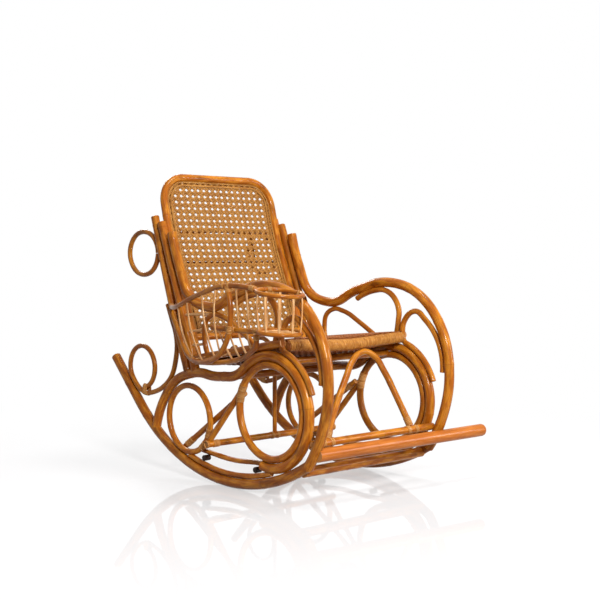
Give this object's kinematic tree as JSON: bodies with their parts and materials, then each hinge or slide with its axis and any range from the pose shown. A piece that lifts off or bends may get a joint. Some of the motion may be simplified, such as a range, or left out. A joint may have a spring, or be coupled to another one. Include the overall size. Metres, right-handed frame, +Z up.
{
  "type": "rattan rocking chair",
  "caption": "Bent rattan rocking chair with curved runners, scrolled side frames, woven cane back and seat, a magazine basket with a cup basket on one side, and a foot bar.",
  "frame": {"origin": "on the floor, midway between the two points where the runners touch it", "axes": "+Z up, the sitter faces -Y, +X to the sitter's left; the basket is on the -X side"},
  "size_m": [0.882, 1.1259, 1.0283],
  "materials": {
    "rattan_pole": "gloss varnish",
    "wrapped_rail": "satin varnish",
    "woven_seat": "satin varnish",
    "cane": "satin varnish",
    "foot_bar": "gloss varnish",
    "dark_peg": "matt stain"
  },
  "bodies": {
    "root": {"runner_right": "rattan_pole", "runner_left": "rattan_pole", "inner_runner_right": "rattan_pole", "inner_runner_left": "rattan_pole", "leg_rail_right": "rattan_pole", "leg_rail_left": "rattan_pole", "big_ring_right": "rattan_pole", "big_ring_left": "rattan_pole", "rear_ring_right": "rattan_pole", "rear_ring_left": "rattan_pole", "tie_bar_right": "rattan_pole", "tie_bar_left": "rattan_pole", "rear_upright_right": "rattan_pole", "rear_upright_left": "rattan_pole", "back_scroll_right": "rattan_pole", "back_scroll_left": "rattan_pole", "upper_loop_right": "rattan_pole", "upper_loop_left": "rattan_pole", "back_post_right": "rattan_pole", "back_post_left": "rattan_pole", "arm_pole_right": "rattan_pole", "arm_pole_left": "rattan_pole", "front_scroll_right": "rattan_pole", "front_scroll_left": "rattan_pole", "arm_hook_right": "rattan_pole", "arm_hook_left": "rattan_pole", "arm_loop_right": "rattan_pole", "arm_loop_left": "rattan_pole", "seat_side_rail_right": "rattan_pole", "seat_side_rail_left": "rattan_pole", "short_brace_right": "rattan_pole", "short_brace_left": "rattan_pole", "long_brace_right": "rattan_pole", "long_brace_left": "rattan_pole", "spacer_pegs": "dark_peg", "dowel_pegs": "rattan_pole", "seat_front_rail": "wrapped_rail", "seat_rear_rail": "rattan_pole", "seat_weave": "woven_seat", "seat_bearer": "rattan_pole", "centre_brace": "rattan_pole", "front_hairpin": "rattan_pole", "under_seat_bar": "rattan_pole", "ring_bar": "rattan_pole", "front_stretcher": "rattan_pole", "bottom_crossbar": "rattan_pole", "rear_stretcher": "rattan_pole", "foot_bar": "foot_bar", "back_frame": "rattan_pole", "back_cane": "cane", "back_bow": "rattan_pole", "back_rail": "rattan_pole", "back_strut": "rattan_pole", "cup_rims": "rattan_pole", "cup_spokes": "rattan_pole", "basket_rim": "rattan_pole", "basket_hoop": "rattan_pole", "basket_front_hoop": "rattan_pole", "basket_rail": "rattan_pole", "basket_spokes": "rattan_pole"}
  },
  "joints": []
}
